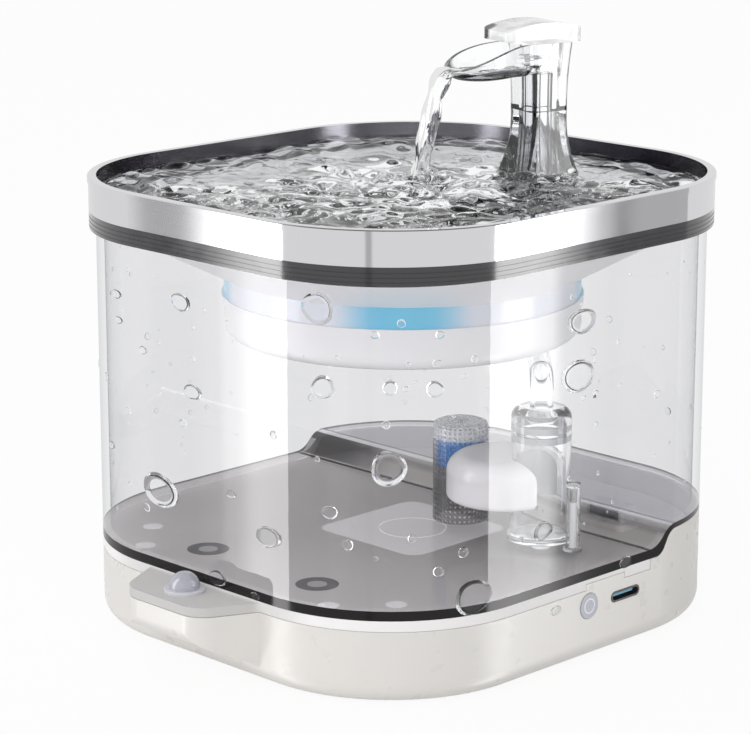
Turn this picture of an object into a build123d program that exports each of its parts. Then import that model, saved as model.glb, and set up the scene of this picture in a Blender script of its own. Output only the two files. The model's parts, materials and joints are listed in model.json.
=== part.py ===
"""Pet water fountain: a clear rounded-square tank on a white powered base, with a steel drinking
tray, a filter cup hung under it, a pump on the tank floor and a clear faucet over the tray.

Millimetres, +Z up. Every piece is modelled about the tank's own vertical axis and moved by
tank_centre_y when it is written, so that the origin lies under the middle of the whole object.
Front is -Y, where the base carries the motion sensor; +X is the side with the button and the port.
"""
from build123d import *
import math
import os

# ---- Driving dimensions ----
# Plan outline of the tank: straight sides joined by circular corners
half_x = 94.0
half_y = 100.25
corner_radius = 59.25
lip_overhang = 2.85          # steel lip beyond the tank wall
band_overhang = 2.5          # steel skirt and ridged ring beyond the tank wall
nose_reach = 21.15           # sensor nose in front of the tank wall
tank_centre_y = (nose_reach - lip_overhang) / 2

# Heights
foot_height = 0.5
parting_z = 27.0             # joint between the base tub and its deck
deck_z = 31.0                # top of the white deck, where the tank stands
floor_thickness = 3.6        # smoked tank floor, in front
floor_z = deck_z + floor_thickness
step_z = 39.8                # underside of the raised part of the floor, at the back
raised_z = 41.8              # top of that part
wall_top_z = 152.0
ring_bottom_z = 148.5
band_bottom_z = 155.0
lip_bottom_z = 165.25
lip_top_z = 167.5

# Step across the tank floor, seen from the side: (foot y, ridge y, foot radius, ridge radius)
step_under = (40.1, 45.5, 5.5, 6.0)
step_over = (37.5, 44.5, 9.4, 9.4)

# Walls and gaps
base_wall = 2.6
tank_wall_thickness = 3.0
steel_gauge = 1.0
gap = 0.3                    # between curved faces of pieces that part
bottom_round = 7.0

# Faucet
faucet_x, faucet_y = 17.0, 55.5
faucet_turn = -105.0         # degrees from +X to the spout
water_z = 162.0
joint_z = 186.0              # head joins the pedestal
head_top_z = 211.6
tip_reach = 40.0             # spout tip from the faucet axis
hose_radius = 4.35
hose_bore = 3.0
sleeve_radius = 6.0
faucet_tube_radius = 5.3
faucet_tube_top_z = 200.0

# Filter cup under the tray
cup_radius = 66.6
cup_bottom_z = 107.0
cup_top_z = 122.5
collar_top_z = 130.4

# Pump parts: the outlet tube stands on suction cups and carries the pump above the floor
pump_at, pump_radius = (44.0, 8.5), 21.0
pump_bottom_z, pump_top_z = 49.5, 66.5
rotor_at, rotor_radius, rotor_top_z = (39.0, 1.0), 6.0, 63.0
volute_z, volute_top_z, volute_radius = 51.0, 56.5, 9.8
duct_z, duct_radius = 53.8, 2.4
shaft_radius = 1.5
strainer_at, strainer_radius, strainer_top_z = (17.9, 13.2), 10.4, 73.0
outlet_at, outlet_radius, outlet_top_z = (58.2, 13.3), 11.1, 86.0
cup_height = 1.6
probe_at = (74.3, 13.2)

# Controls on the +X side of the base
control_z = 21.1
button_y, button_radius = 0.0, 4.75
port_y, port_length, port_height = 20.0, 15.7, 4.1

# Nose with the motion sensor
nose_top_z = 30.5
nose_root_half, nose_front_half, nose_corner = 29.1, 18.8, 11.0
nose_chin_z, nose_root_z, nose_under_round = 17.8, 6.5, 5.0
sensor_y = -109.4
dome_radius, dome_flange_radius = 5.6, 7.5

# Joint line between tub and deck: the tub rises in a tab over the button and the port
deck_end_y = 34.1
tab_start_y, tab_end_y, tab_rise = -1.5, 19.4, 2.3
groove_width, groove_depth = 0.3, 0.45

# Pieces set into the deck
ring_places = [(-29.1, -72.4), (29.1, -72.4)]
ring_outer, ring_inner = 7.8, 3.6
cap_places = [(48.9, -86.0), (64.9, -68.6), (-48.9, -86.0), (-64.9, -68.6)]
cap_radius = 3.85
inlay = 1.0                  # depth of their seats
coil_at, coil_plate = (5.6, 0.0), 52.0
dock_at, dock_length, dock_width = (54.0, 57.0), 23.0, 13.0

# Inside the base
screw_places = [(-62, -52), (62, -52), (-62, 62), (62, 62)]
foot_places = [(-48, -66), (48, -66), (-48, 66), (48, 66)]
board_posts = [(43, -22), (85, -22), (43, 44), (83, 44)]
cell_radius, cell_length = 9.2, 65.0
cell_x, cell_rows, cell_z = -41.0, (-24.5, -4.5), 15.5
board_corner, board_size, board_z = (38.0, -26.0), (52.0, 74.0), 12.0
board_top_z = board_z + 1.6

os.makedirs("parts", exist_ok=True)


# ---- Shared forms ----
def outline(offset):
    """The tank's plan outline, grown outwards by offset."""
    return RectangleRounded(
        2 * (half_x + offset), 2 * (half_y + offset), corner_radius + offset
    )


def prism(offset, low, high):
    return Pos(0, 0, low) * extrude(outline(offset), high - low)


def ring(outer, inner, low, high):
    """A straight-walled ring that follows the plan outline."""
    return prism(outer, low, high) - prism(inner, low - 1, high + 1)


def tube(radius, bore, low, high):
    return Pos(0, 0, low) * (
        extrude(Circle(radius), high - low) - extrude(Circle(bore), high - low)
    )


def rod(radius, low, high):
    return Pos(0, 0, low) * extrude(Circle(radius), high - low)


def block(x0, x1, y0, y1, z0, z1):
    return Pos((x0 + x1) / 2, (y0 + y1) / 2, (z0 + z1) / 2) * Box(x1 - x0, y1 - y0, z1 - z0)


def below_step(step, low, high, drop=0.0):
    """Everything under a side profile that is low in front, rises over a step and is high behind."""
    foot_y, ridge_y, foot_r, ridge_r = step
    reach = 160
    corners = FilletPolyline(
        (-reach, low - drop),
        (foot_y, low - drop),
        (ridge_y, high - drop),
        (reach, high - drop),
        radius=[foot_r, ridge_r],
    )
    closing = Polyline(
        (reach, high - drop), (reach, -10), (-reach, -10), (-reach, low - drop)
    )
    face = make_face([corners, closing])
    return extrude(Plane.YZ * face, reach, both=True)


def save(node, shape):
    export_step(Pos(0, tank_centre_y, 0) * shape, f"parts/{node}.step")


def at_faucet(shape):
    return Pos(faucet_x, faucet_y, 0) * Rot(0, 0, faucet_turn) * shape


def upright(place, shape):
    """Moves a shape about the Z axis to a place in plan."""
    return Pos(*place, 0) * shape


def bottom_edges(shape):
    return shape.edges().group_by(Axis.Z)[0]


# ---- Base ----
def nose(inset, low, high):
    """Sensor nose: a rounded trapezium in plan with an underside that runs back to the base."""
    root_half, front_half, root_y = nose_root_half - inset, nose_front_half - inset, -half_y + 6
    front_y = -half_y - nose_reach + inset
    plan = make_face(
        Polyline(
            (-root_half, -half_y),
            (-front_half, front_y),
            (front_half, front_y),
            (root_half, -half_y),
            (root_half, root_y),
            (-root_half, root_y),
            close=True,
        )
    )
    front = plan.vertices().filter_by(lambda v: v.Y < front_y + 0.1)
    plan = fillet(front, nose_corner - inset)
    solid = Pos(0, 0, low) * extrude(plan, high - low)
    clear_of = 20                # reach of the side profile past the solid
    side = make_face(
        FilletPolyline(
            (front_y - clear_of, high + clear_of),
            (front_y, high + clear_of),
            (front_y, nose_chin_z + inset),
            (-half_y + 1, nose_root_z + inset),
            (root_y + clear_of, nose_root_z - 2.5 + inset),
            (root_y + clear_of, high + clear_of),
            radius=[0.5, max(nose_under_round - inset, 0.5), 6.0, 0.5],
        )
        + Line((root_y + clear_of, high + clear_of), (front_y - clear_of, high + clear_of))
    )
    return solid & extrude(Plane.YZ * side, 60, both=True)


def tub_shape():
    body = prism(0, foot_height, step_z + 10)
    body = fillet(bottom_edges(body), bottom_round)
    body &= below_step(step_under, deck_z, step_z, gap)
    return body + nose(0, foot_height, parting_z)


def deck_notch():
    """What the deck takes off the tub's top edge: all of it in front, less the tab."""
    front = block(-120, 120, -140, deck_end_y, parting_z, 60)
    return front - block(80, 120, tab_start_y, tab_end_y, parting_z - 1, parting_z + tab_rise)


def joint_groove():
    """The fine open line round the deck where it meets the tub."""
    low, high = parting_z - 1, deck_z + 1
    tab_start, tab_end = tab_start_y - groove_width, tab_end_y + groove_width
    line = block(-120, 120, -140, deck_end_y, low, parting_z + groove_width)
    line += block(80, 120, tab_start, tab_end, low, parting_z + tab_rise + groove_width)
    line += block(-120, 120, deck_end_y - groove_width, deck_end_y, low, high)
    inside = prism(-groove_depth, low, high) + nose(groove_depth, low, high)
    return line - inside


def base_tub():
    body = tub_shape() - deck_notch()
    cavity = prism(-base_wall, foot_height + base_wall, 80)
    cavity = fillet(bottom_edges(cavity), bottom_round - base_wall)
    body -= cavity
    body -= nose(base_wall, foot_height + base_wall, parting_z + 5)
    for x, y in screw_places:
        body += Pos(x, y, 0) * rod(4.5, foot_height + 1, 14)
        body -= Pos(x, y, 0) * (rod(3.2, 0, 4) + rod(1.7, 0, 15))
    for x, y in foot_places:
        body -= Pos(x, y, 0) * rod(8.2, 0, foot_height + 0.8)
    for x in (-62, -20):
        cradle = block(x - 1, x + 1, -34, 8, foot_height + 2, 9)
        for y in cell_rows:
            cradle -= Pos(x, y, cell_z) * Rot(0, 90, 0) * Cylinder(cell_radius + 0.1, 6)
        body += cradle
    for x, y in board_posts:
        body += Pos(x, y, 0) * (rod(2.6, foot_height + 2, board_z) - rod(1.2, board_z - 6, board_z))
    side = Plane(origin=(half_x, 0, control_z), x_dir=(0, 1, 0), z_dir=(1, 0, 0))
    body -= extrude(side * Pos(button_y, 0) * Circle(button_radius + 0.15), 12, both=True)
    body -= extrude(side * Pos(port_y, 0) * slot_sketch(0.05), 12, both=True)
    return body


def slot_sketch(grow):
    return SlotOverall(port_length + 2 * grow, port_height + 2 * grow)


def base_deck():
    front = (prism(0, parting_z, deck_z) & deck_notch()) + nose(0, parting_z, nose_top_z)
    plate_z = deck_z - 2.4
    rear = prism(-base_wall - gap, plate_z, deck_z) & block(-120, 120, deck_end_y - 1, 120, 0, 60)
    hollow = prism(-base_wall - 1.8, 20, plate_z)
    hollow += nose(base_wall + 1.8, 20, nose_top_z - 2.4)
    tongue = ring(-base_wall - gap, -base_wall - 1.8, parting_z - 2.5, deck_z - inlay)
    tongue -= block(60, 120, -10, deck_end_y, 0, 60) + block(-31, 31, -140, -80, 0, 60)
    deck = front + rear + tongue - hollow - joint_groove()
    for place in screw_places:
        deck += upright(place, rod(4.5, 14.2, deck_z - inlay) - rod(1.5, 14, deck_z - 3))
    deck -= Pos(0, sensor_y, 0) * rod(dome_radius - 1.2, 20, 60)
    for place in ring_places:
        deck -= upright(place, rod(ring_outer, deck_z - inlay, 60))
    for place in cap_places:
        deck -= upright(place, rod(cap_radius, deck_z - inlay, 60))
    deck -= upright(coil_at, plate(coil_plate, coil_plate, 6, deck_z - inlay, 60))
    return deck - upright(dock_at, plate(dock_length + 0.4, dock_width + 0.4, 3, deck_z - inlay, 60))


def plate(length, width, corner, low, high):
    return Pos(0, 0, low) * extrude(RectangleRounded(length, width, corner), high - low)


def locating_rings():
    return [upright(place, tube(ring_outer, ring_inner, deck_z - inlay, deck_z)) for place in ring_places]


def locating_pins():
    return [upright(place, rod(ring_inner, deck_z - inlay, deck_z)) for place in ring_places]


def deck_caps():
    return [upright(place, rod(cap_radius, deck_z - inlay, deck_z)) for place in cap_places]


def coil_cover():
    cover = plate(coil_plate, coil_plate, 6, deck_z - inlay, deck_z)
    return upright(coil_at, cover - tube(13.0, 12.4, deck_z - 0.3, deck_z))


def charge_coil():
    """Flat winding that powers the pump through the tank floor, on its ferrite disc."""
    top = deck_z - 2.6
    ferrite = rod(21.0, top - 3.2, top - 1.6)
    winding = tube(20.0, 8.0, top - 1.6, top)
    return upright(coil_at, ferrite), upright(coil_at, winding)


def power_dock():
    """White socket housing that stands in the hollow under the raised part of the tank floor."""
    flange_top = deck_z - inlay + 3.4
    flange = plate(dock_length, dock_width, 2.8, deck_z - inlay, flange_top)
    housing = Pos(0, 1.2, 0) * plate(dock_length - 4, dock_width - 4, 1.5, flange_top, step_z - 0.8)
    return upright(dock_at, flange + housing - dock_pocket(0.0))


def dock_pocket(inset):
    """Hollow in the front of the socket housing."""
    half_length, front, back = 7.75 - inset, -dock_width / 2, -0.6
    return block(-half_length, half_length, front, back, deck_z + 3.0 + inset, step_z - 1.6 - inset)


def dock_window():
    """Dark pane at the back of the pocket."""
    return upright(dock_at, dock_pocket(0.1) & block(-10, 10, -2.0, 0, deck_z, step_z))


def rubber_feet():
    pad = rod(8.0, 0, foot_height + 0.8)
    pad = chamfer(bottom_edges(pad), 0.4)
    return [upright(place, pad) for place in foot_places]


def base_screws():
    screw = rod(3.0, 2.2, 4.0) + rod(1.45, 3.5, 24.0)
    return [upright(place, screw) for place in screw_places]


def battery_cells():
    cell = Cylinder(cell_radius, cell_length) + rod(3, 0, cell_length / 2 + 0.8)
    return [Pos(cell_x, y, cell_z) * Rot(0, 90, 0) * cell for y in cell_rows]


def main_board():
    x, y = board_corner
    board = block(x, x + board_size[0], y, y + board_size[1], board_z, board_top_z)
    for place in board_posts:
        board -= upright(place, rod(1.2, board_z - 1, board_top_z + 1))
    return board & prism(-base_wall - 1.2, 0, 40)


def board_parts():
    """The taller parts on the board: controller, charger chip, connectors and capacitors."""
    top = board_top_z
    parts = [
        block(52, 62, -6, 4, top, top + 1.2),
        block(54, 59, 24, 29, top, top + 1.2),
        block(40, 46, 6, 16, top, top + 5.5),
        block(66, 72, -22, -14, top, top + 5.5),
    ]
    parts += [Pos(70, y, 0) * rod(3.2, top, top + 7) for y in (32, 40)]
    return parts


def mode_button():
    side = Plane(origin=(half_x, button_y, control_z), x_dir=(0, 1, 0), z_dir=(1, 0, 0))
    cap = extrude(side * Circle(button_radius), 0.4) + extrude(side * Circle(button_radius), -2.2)
    cap = fillet(cap.edges().group_by(Axis.X)[-1], 0.25)
    cap += extrude(side * Circle(2.0), -6.0)
    return cap - extrude(side * ring_sketch(), 1.0) - extrude(side * ring_sketch(), -0.6)


def ring_sketch():
    return Circle(2.9) - Circle(2.3)


def button_ring():
    side = Plane(origin=(half_x - 0.6, button_y, control_z), x_dir=(0, 1, 0), z_dir=(1, 0, 0))
    return extrude(side * ring_sketch(), 1.0)


def switch_plunger():
    side = Plane(origin=(half_x - 6.0, button_y, control_z), x_dir=(0, 1, 0), z_dir=(1, 0, 0))
    return extrude(side * Circle(1.7), -2.2)


def mode_switch():
    """Tact switch on its own upright card, its plunger bore towards the button."""
    body = block(83.0, 86.6, -3, 3, control_z - 3, control_z + 3)
    body -= Pos(86, 0, control_z) * Rot(0, 90, 0) * Cylinder(1.75, 5.6)
    card = block(81.8, 83.0, -6, 6, board_top_z, control_z + 4)
    return body + card


def usb_bezel():
    side = Plane(origin=(half_x, port_y, control_z), x_dir=(0, 1, 0), z_dir=(1, 0, 0))
    wall = extrude(side * slot_sketch(0), 0.15) + extrude(side * slot_sketch(0), -5.0)
    return wall - extrude(side * slot_sketch(-0.75), 12, both=True)


def usb_tongue():
    side = Plane(origin=(half_x - 1.2, port_y, control_z), x_dir=(0, 1, 0), z_dir=(1, 0, 0))
    return extrude(side * Pos(0, 0.15) * RectangleRounded(11.0, 0.8, 0.3), -6.4)


def usb_shell():
    side = Plane(origin=(half_x - 5.1, port_y, control_z), x_dir=(0, 1, 0), z_dir=(1, 0, 0))
    shell = extrude(side * slot_sketch(-0.4), -4.5)
    shell -= extrude(side * slot_sketch(-0.75), -2.4)
    shell -= extrude(side * Pos(0, 0.15) * RectangleRounded(11.2, 1.0, 0.3), -2.8)
    for y in (port_y - 5, port_y + 5):
        shell += block(86, 88.5, y - 0.6, y + 0.6, board_top_z, control_z - 1.2)
    return shell


def pir_bezel():
    flange = Pos(0, sensor_y, 0) * rod(dome_flange_radius, nose_top_z, nose_top_z + 1.2)
    flange = fillet(flange.edges().group_by(Axis.Z)[-1], 0.5)
    neck = Pos(0, sensor_y, 0) * rod(dome_radius - 1.3, nose_top_z - 4, nose_top_z)
    return flange + neck - Pos(0, sensor_y, 0) * rod(dome_radius - 2.1, 20, 60)


def pir_lens():
    dome = Pos(0, 0, 0.2) * Sphere(dome_radius) & block(-10, 10, -10, 10, 0, 10)
    return Pos(0, sensor_y, nose_top_z + 1.2) * (dome - Sphere(dome_radius - 1.0))


def pir_sensor():
    card_top = nose_top_z - 4.6
    can = rod(3.4, card_top, nose_top_z + 0.4) + block(-8, 8, -7, 7, card_top - 1.4, card_top)
    return Pos(0, sensor_y, 0) * can


# ---- Tank ----
def tank_floor():
    slab = prism(0, deck_z - 1, 60)
    return (slab & below_step(step_over, floor_z, raised_z)) - below_step(step_under, deck_z, step_z)


def tank_wall():
    wall = ring(0, -tank_wall_thickness, deck_z, wall_top_z)
    return wall - below_step(step_over, floor_z, raised_z)


def level_sleeve():
    foot = rod(3.6, floor_z, floor_z + 1.2)
    sleeve = rod(2.7, floor_z, 60.0) - rod(1.95, floor_z + 1.2, 58.5)
    return upright(probe_at, foot + sleeve)


def level_rod():
    return upright(probe_at, rod(1.35, floor_z + 1.2, 53.0))


def level_contact():
    return upright(probe_at, rod(1.35, 53.0, 57.5))


# ---- Pump ----
def duct(end):
    """The bore of a straight duct from the rotor's axis to a neighbour's."""
    run = Vector(*end) - Vector(*rotor_at)
    along = Plane(origin=(*rotor_at, duct_z), z_dir=run)
    return extrude(along * Circle(duct_radius), run.length)


def pump_housing():
    """Flat rounded body with the volute open below, a blind rotor well and a duct each way."""
    body = rod(pump_radius, pump_bottom_z, pump_top_z)
    body = fillet(body.edges().group_by(Axis.Z)[-1], 7.0)
    body = upright(pump_at, fillet(bottom_edges(body), 2.0))
    body -= duct(strainer_at) + duct(outlet_at)
    body -= upright(strainer_at, rod(strainer_radius + gap, 30, 80))
    body -= upright(outlet_at, rod(outlet_radius, 30, 90))
    hollow = rod(volute_radius, 40, volute_top_z) + rod(rotor_radius + 0.6, 50, rotor_top_z + 0.6)
    return body - upright(rotor_at, hollow + rod(shaft_radius, 60, rotor_top_z + 1.8))


def pump_cover():
    """Disc that closes the volute from below and holds the shaft's lower end."""
    cover = rod(volute_radius, pump_bottom_z, volute_z) + rod(4.0, pump_bottom_z - 1.2, pump_bottom_z)
    return upright(rotor_at, cover - rod(shaft_radius, pump_bottom_z, volute_z + 1))


def suction_cups():
    cup = Pos(7.2, 0, floor_z) * Cone(3.4, 1.8, cup_height, align=(Align.CENTER, Align.CENTER, Align.MIN))
    return [upright(outlet_at, Rot(0, 0, angle) * cup) for angle in range(45, 360, 90)]


def impeller():
    disc = rod(8.4, volute_z + 0.5, volute_z + 1.5)
    for angle in range(0, 360, 60):
        vane = Pos(5.2, 0, volute_z + 3.0) * Rot(0, 0, 25) * Box(6.0, 1.0, 3.2)
        disc += Rot(0, 0, angle) * vane
    disc += rod(3.0, volute_z + 0.5, volute_top_z - 0.4)
    return upright(rotor_at, disc - rod(shaft_radius + 0.05, volute_z - 1, 70))


def rotor_magnet():
    return upright(rotor_at, tube(rotor_radius, shaft_radius + 0.05, volute_top_z - 0.4, rotor_top_z))


def impeller_shaft():
    return upright(rotor_at, rod(shaft_radius, pump_bottom_z, rotor_top_z + 1.8))


def strainer_cage():
    low = floor_z + 0.4
    cage = rod(strainer_radius, low, strainer_top_z)
    cage = fillet(cage.edges().group_by(Axis.Z)[-1], 1.6)
    cage -= rod(strainer_radius - 1.2, floor_z - 1, strainer_top_z - 1.4)
    rows, bar, slot_width = 3, 2.2, 3.0
    pitch = (strainer_top_z - low - 5) / rows
    for row in range(rows):
        z = low + 3 + pitch * (row + 0.5)
        for turn in range(0, 180, 30):
            cage -= Pos(0, 0, z) * Rot(0, 0, turn) * Box(3 * strainer_radius, slot_width, pitch - bar)
    return upright(strainer_at, cage)


def filter_foam():
    return upright(strainer_at, tube(strainer_radius - 1.6, 3.0, 52.0, 70.5))


outlet_wall = 1.7


def outlet_tube():
    """Clear column on suction cups: water enters from the pump and leaves by the hose on top."""
    low, bore = floor_z + cup_height, outlet_radius - outlet_wall
    body = rod(outlet_radius, low, outlet_top_z)
    body = fillet(body.edges().group_by(Axis.Z)[-1], 4.0)
    body -= rod(bore, low + 2, outlet_top_z - 2.2) + rod(hose_radius, outlet_top_z - 5, 90)
    body += rod(outlet_radius + 1.2, low, low + 1.4)
    return upright(outlet_at, body) - duct(outlet_at)


def outlet_rings():
    bore = outlet_radius - outlet_wall
    return [upright(outlet_at, tube(bore, bore - 1.6, z, z + 2.4)) for z in (73.4, 77.2)]


def riser_hose():
    low_z, run_z = 82.0, 96.5
    path = FilletPolyline(
        (*outlet_at, low_z),
        (*outlet_at, run_z),
        (faucet_x, faucet_y, run_z + 1.0),
        (faucet_x, faucet_y, 128.0),
        radius=[8.0, 7.0],
    )
    section = Plane(origin=path @ 0, z_dir=path % 0) * (Circle(hose_radius) - Circle(hose_bore))
    return sweep(section, path=path)


# ---- Tray carrier ----
def tray_seat():
    """Ridged ring that caps the tank wall and carries the steel tray."""
    seat = ring(band_overhang, -6.5, wall_top_z, band_bottom_z)
    seat += ring(band_overhang, gap, ring_bottom_z, wall_top_z)
    seat += ring(-tank_wall_thickness - gap, -4.8, 147.0, wall_top_z)
    for z in (149.6, 151.2, 152.8):
        seat -= ring(band_overhang + 1, band_overhang - 0.35, z, z + 0.5)
    return seat


def round_section(radius, z):
    """A circle cut at the same places as the tank outline, so that lofts between them run true."""
    return Pos(0, 0, z) * RectangleRounded(2 * radius, 2 * radius, radius - 0.5)


def filter_funnel():
    """White funnel from the tank's rounded square down to the round filter cup."""
    top_z = 148.0
    outer, inner = [
        loft([Pos(0, 0, top_z) * outline(wide), round_section(narrow, collar_top_z)], ruled=True)
        for wide, narrow in ((-6.5, cup_radius), (-8.8, cup_radius - 2.2))
    ]
    return (outer - inner) + ring(-6.5, -8.8, top_z, band_bottom_z - 1.0)


def filter_collar():
    return tube(cup_radius - 0.2, cup_radius - 2.2, cup_top_z, collar_top_z)


def filter_cup():
    body = rod(cup_radius, cup_bottom_z, cup_top_z)
    body = fillet(bottom_edges(body), 5.0)
    body += rod(cup_radius + 0.7, cup_top_z - 2.9, cup_top_z)
    body -= rod(cup_radius - 2.2, cup_bottom_z + 2.0, cup_top_z + 1)
    for turn in range(0, 360, 45):
        for reach, length in ((24.0, 14.0), (45.0, 26.0)):
            slot = extrude(Rot(0, 0, 90) * SlotOverall(length, 3.0), 10, both=True)
            body -= Rot(0, 0, turn + 22.5) * Pos(reach, 0, cup_bottom_z) * slot
    body += Pos(faucet_x, faucet_y, 0) * rod(sleeve_radius, cup_bottom_z, 149.0)
    return body - Pos(faucet_x, faucet_y, 0) * rod(hose_radius + gap, 100, 160)


def filter_frame():
    """Round cartridge frame: a rim on a crossed base that holds the pad."""
    low, high = cup_bottom_z + 2.0, 120.0
    frame = tube(62.0, 60.0, low, high) + tube(60.0, 57.0, low, low + 1.2)
    for turn in (15, 75, 135):
        frame += Rot(0, 0, turn) * Pos(0, 0, low + 0.6) * Box(118, 2.0, 1.2)
    return frame - sleeve_notch()


def sleeve_notch():
    return Pos(faucet_x, faucet_y, 0) * rod(sleeve_radius + 1.0, 90, 160)


def filter_pad():
    return rod(59.4, cup_bottom_z + 3.2, 118.5) - sleeve_notch()


# ---- Steel tray ----
tray_floor_z = 150.0
sink_inset = -12.0


def pan(grow, lift, rounding):
    """One side of the pressed tray: a shallow pan with a deeper sink in the middle of its floor."""
    wide = Pos(0, 0, lip_top_z) * extrude(
        outline(-0.45 + grow), -(lip_top_z - band_bottom_z - lift), taper=5.0
    )
    wide = fillet(bottom_edges(wide), rounding)
    sink = Pos(0, 0, band_bottom_z + lift + 0.5) * extrude(
        outline(sink_inset + grow), -(band_bottom_z + 0.5 - tray_floor_z), taper=25.0
    )
    return wide + fillet(bottom_edges(sink), rounding / 2)


def steel_tray():
    rim = ring(lip_overhang, -0.45, lip_top_z - 1.2, lip_top_z)
    rim += ring(lip_overhang, lip_overhang - 1.6, lip_bottom_z, lip_top_z)
    rim = chamfer(rim.edges().group_by(Axis.Z)[-1], 0.35)
    skirt = ring(band_overhang, band_overhang - steel_gauge, band_bottom_z, lip_top_z - 0.8)
    tray = rim + skirt + pan(steel_gauge, 0.0, 4.0) - pan(0.0, steel_gauge, 3.2)
    tray -= Pos(faucet_x, faucet_y, 0) * rod(sleeve_radius + 0.6, 140, 160)
    for count, reach in ((8, 18.0), (12, 30.0)):
        for turn in range(count):
            tray -= Rot(0, 0, turn * 360 / count) * Pos(reach, 0, 0) * rod(2.0, 140, 160)
    return tray


# ---- Faucet ----
def square(size, z, radius):
    return Pos(0, 0, z) * RectangleRounded(size, size, radius)


def faucet_pedestal():
    foot_z = tray_floor_z + steel_gauge
    foot = loft([square(26.0, foot_z, 3.0), square(23.7, water_z, 3.0)])
    waist = loft([square(23.7, water_z, 3.0), square(18.6, 172.0, 2.8), square(16.7, joint_z, 2.6)])
    spigot = rod(hose_radius, 139.0, foot_z)
    groove = tube(hose_radius + 1, hose_radius - 1.0, 143.3, 144.7)
    socket = rod(faucet_tube_radius, foot_z + 2, joint_z + 1) + rod(hose_bore, 130, foot_z + 3)
    return at_faucet(foot + waist + spigot - socket - groove)


def faucet_tube():
    return at_faucet(tube(faucet_tube_radius, hose_bore, tray_floor_z + 3.0, faucet_tube_top_z))


def spigot_seal():
    seal = Pos(0, 0, 144.0) * Torus(hose_radius - 0.37, 0.62)
    return at_faucet(seal)


def scoop_plan(inset):
    """Plan of the spout: it leaves the head straight, widens, and ends in a half ellipse."""
    root, root_x, belly_x, belly = 8.4 - inset, 6.0, 27.0, 12.6 - inset
    nose_length = tip_reach - belly_x - inset
    sides = []
    for sign in (1, -1):
        sides.append(
            Spline((root_x, sign * root), (belly_x, sign * belly), tangents=[(1, 0), (1, 0)])
        )
    tip = EllipticalCenterArc((belly_x, 0), nose_length, belly, start_angle=-90, arc_size=180)
    back = Polyline((root_x, root), (-2, root), (-2, -root), (root_x, -root))
    return make_face(sides + [tip, back])


def rim_profile():
    """Everything under the spout's rim, seen from the side."""
    rim = Spline((8.0, 211.4), (22.0, 209.6), (33.0, 205.6), (42.0, 201.0))
    rest = Polyline((42.0, 201.0), (42.0, 190.0), (-20.0, 190.0), (-20.0, 211.4), (8.0, 211.4))
    return extrude(Plane.XZ * make_face([rim, rest]), 30, both=True)


def faucet_head():
    low, high = 199.2, 212.0
    scoop = Pos(0, 0, low) * extrude(scoop_plan(0), high - low)
    scoop = fillet(bottom_edges(scoop), 6.0)
    hollow = Pos(0, 0, low + 2.0) * extrude(scoop_plan(1.9), high - low)
    hollow = fillet(bottom_edges(hollow), 4.0) & block(9.0, 60, -30, 30, 190, 230)
    column = loft([square(16.7, joint_z, 2.6), square(17.2, 198.0, 2.8), square(19.4, head_top_z, 3.0)])
    head = (scoop & rim_profile()) - hollow + (column - hollow)
    head -= rod(faucet_tube_radius + 0.05, joint_z - 1, faucet_tube_top_z + 0.4)
    head -= rod(hose_bore, joint_z, 207.0) + Pos(6, 0, 204.6) * Rot(0, 90, 0) * Cylinder(2.6, 12)
    return at_faucet(head)


def faucet_cap():
    """Flat lever cap over the head, arched on top and tipped up towards the spout."""
    arch = ThreePointArc((20.0, 216.6), (2.0, 219.5), (-13.5, 216.8))
    under = Polyline((-13.5, 216.8), (-13.5, head_top_z), (9.0, head_top_z), (20.0, 213.0), (20.0, 216.6))
    cap = extrude(Plane.XZ * make_face([arch, under]), 9.6, both=True)
    upright = cap.edges().filter_by(Axis.Z)
    cap = fillet(upright, 3.5)
    return at_faucet(cap)


# ---- Write every node ----
ferrite, winding = charge_coil()
nodes = {
    "base_tub": base_tub(),
    "base_deck": base_deck(),
    "rubber_feet": rubber_feet(),
    "base_screws": base_screws(),
    "locating_rings": locating_rings(),
    "locating_pins": locating_pins(),
    "deck_caps": deck_caps(),
    "coil_cover": coil_cover(),
    "coil_ferrite": ferrite,
    "coil_winding": winding,
    "power_dock": power_dock(),
    "dock_window": dock_window(),
    "battery_cells": battery_cells(),
    "main_board": main_board(),
    "board_parts": board_parts(),
    "mode_button": mode_button(),
    "button_ring": button_ring(),
    "switch_plunger": switch_plunger(),
    "mode_switch": mode_switch(),
    "usb_bezel": usb_bezel(),
    "usb_tongue": usb_tongue(),
    "usb_shell": usb_shell(),
    "pir_bezel": pir_bezel(),
    "pir_lens": pir_lens(),
    "pir_sensor": pir_sensor(),
    "tank_floor": tank_floor(),
    "tank_wall": tank_wall(),
    "level_sleeve": level_sleeve(),
    "level_rod": level_rod(),
    "level_contact": level_contact(),
    "pump_housing": pump_housing(),
    "pump_cover": pump_cover(),
    "suction_cups": suction_cups(),
    "impeller": impeller(),
    "rotor_magnet": rotor_magnet(),
    "impeller_shaft": impeller_shaft(),
    "strainer_cage": strainer_cage(),
    "filter_foam": filter_foam(),
    "outlet_tube": outlet_tube(),
    "outlet_rings": outlet_rings(),
    "riser_hose": riser_hose(),
    "tray_seat": tray_seat(),
    "filter_funnel": filter_funnel(),
    "filter_collar": filter_collar(),
    "filter_cup": filter_cup(),
    "filter_frame": filter_frame(),
    "filter_pad": filter_pad(),
    "steel_tray": steel_tray(),
    "faucet_pedestal": faucet_pedestal(),
    "faucet_tube": faucet_tube(),
    "spigot_seal": spigot_seal(),
    "faucet_head": faucet_head(),
    "faucet_cap": faucet_cap(),
}
for node, shape in nodes.items():
    save(node, Compound(shape) if isinstance(shape, list) else shape)
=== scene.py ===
"""Looks of the pet water fountain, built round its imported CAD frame. Metres, +Z up."""
import json
import math

import bmesh
import bpy
import numpy as np
from mathutils import Matrix, Vector


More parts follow.
